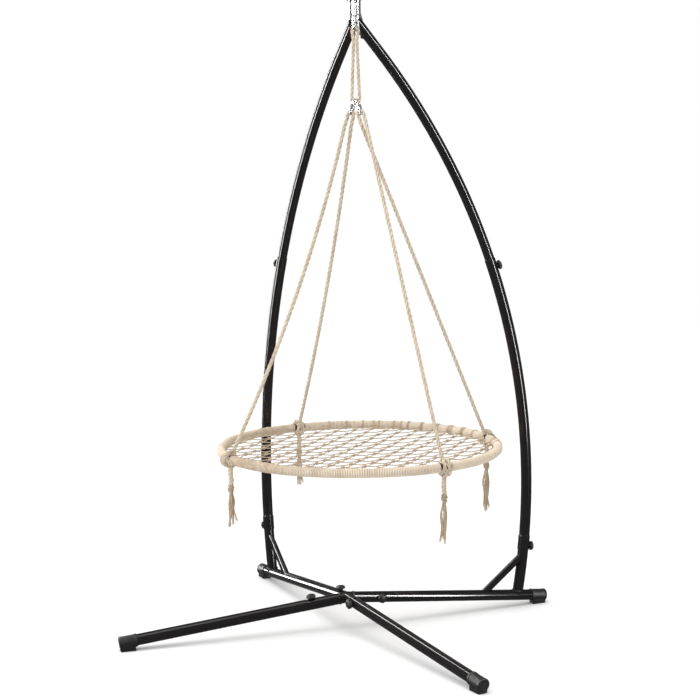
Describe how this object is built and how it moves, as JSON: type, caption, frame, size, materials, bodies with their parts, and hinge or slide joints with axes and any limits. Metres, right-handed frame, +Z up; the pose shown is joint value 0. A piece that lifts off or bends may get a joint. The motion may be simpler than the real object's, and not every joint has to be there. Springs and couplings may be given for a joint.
{
  "type": "saucer nest swing",
  "caption": "Round macrame nest swing hung by ropes, links and a snap hook from a freestanding steel stand with bent arms.",
  "frame": {"origin": "on the ground, under the middle of the whole object's box", "axes": "+Z up, +X to the swing's right, -Y to its open front; the arms stand at the rear"},
  "size_m": [1.2704, 1.1326, 2.183],
  "materials": {
    "black_paint": "semi-gloss",
    "black_plastic": "satin",
    "zinc": "bright",
    "chrome": "polished",
    "bushing": "matte",
    "cotton_rope": "matte",
    "cotton_wrap": "matte",
    "cotton_net": "matte",
    "cotton_strand": "matte"
  },
  "bodies": {
    "stand": {"hub_cross": "black_paint", "front_leg_left": "black_paint", "front_leg_right": "black_paint", "rear_leg_left": "black_paint", "rear_leg_right": "black_paint", "foot_cap_front_left": "black_plastic", "foot_cap_front_right": "black_plastic", "foot_cap_rear_left": "black_plastic", "foot_cap_rear_right": "black_plastic", "hub_knob_front_left": "black_plastic", "hub_knob_front_right": "black_plastic", "hub_knob_rear_left": "black_plastic", "hub_knob_rear_right": "black_plastic", "post_knob_left": "black_plastic", "post_knob_right": "black_plastic", "lower_arm_left": "black_paint", "lower_arm_right": "black_paint", "arm_knob_left": "black_plastic", "arm_knob_right": "black_plastic", "upper_arm_left": "black_paint", "upper_arm_right": "black_paint", "apex_screw_left": "zinc", "apex_screw_right": "zinc", "apex_bracket": "zinc", "hanger_bolt": "zinc", "hanger_nut": "zinc", "hanger_bushing": "bushing"},
    "snap_hook": {"carabiner_body": "chrome", "gate_pin": "zinc"},
    "gate": {"carabiner_gate": "chrome"},
    "sling_loop": {"sling": "cotton_rope"},
    "seat": {"link_left": "chrome", "link_right": "chrome", "link_sleeve_left": "zinc", "link_sleeve_right": "zinc", "rope_left": "cotton_rope", "rope_right": "cotton_rope", "rim_hoop": "black_paint", "rim_wrap_front": "cotton_wrap", "rim_wrap_right": "cotton_wrap", "rim_wrap_rear": "cotton_wrap", "rim_wrap_left": "cotton_wrap", "net": "cotton_net", "rim_knot_front_left": "cotton_rope", "rim_knot_front_right": "cotton_rope", "rim_knot_rear_left": "cotton_rope", "rim_knot_rear_right": "cotton_rope", "tail_front_left": "cotton_rope", "tail_front_right": "cotton_rope", "tail_rear_left": "cotton_rope", "tail_rear_right": "cotton_rope", "tassel_front_left": "cotton_strand", "tassel_front_right": "cotton_strand", "tassel_rear_left": "cotton_strand", "tassel_rear_right": "cotton_strand"}
  },
  "joints": [
    {"name": "swing_fore_aft", "type": "hinge", "parent": "stand", "child": "snap_hook", "pos_m": [0, 0.06713, 2.155], "axis": [1, 0, 0], "range_deg": [-20, 3]},
    {"name": "gate_open", "type": "hinge", "parent": "snap_hook", "child": "gate", "pos_m": [0, 0.08263, 2.074], "axis": [1, 0, 0], "range_deg": [0, 25], "stiffness_Nm_per_rad": 0.05, "springref_deg": -22.92},
    {"name": "swing_sideways", "type": "hinge", "parent": "snap_hook", "child": "sling_loop", "pos_m": [0, 0.06713, 2.049], "axis": [0, 1, 0], "range_deg": [-1.5, 1.5]},
    {"name": "seat_turn", "type": "hinge", "parent": "sling_loop", "child": "seat", "pos_m": [0, 0.06713, 1.8163], "axis": [0, 0, 1], "range_deg": [-90, 90], "deforming": ["sling"]}
  ]
}
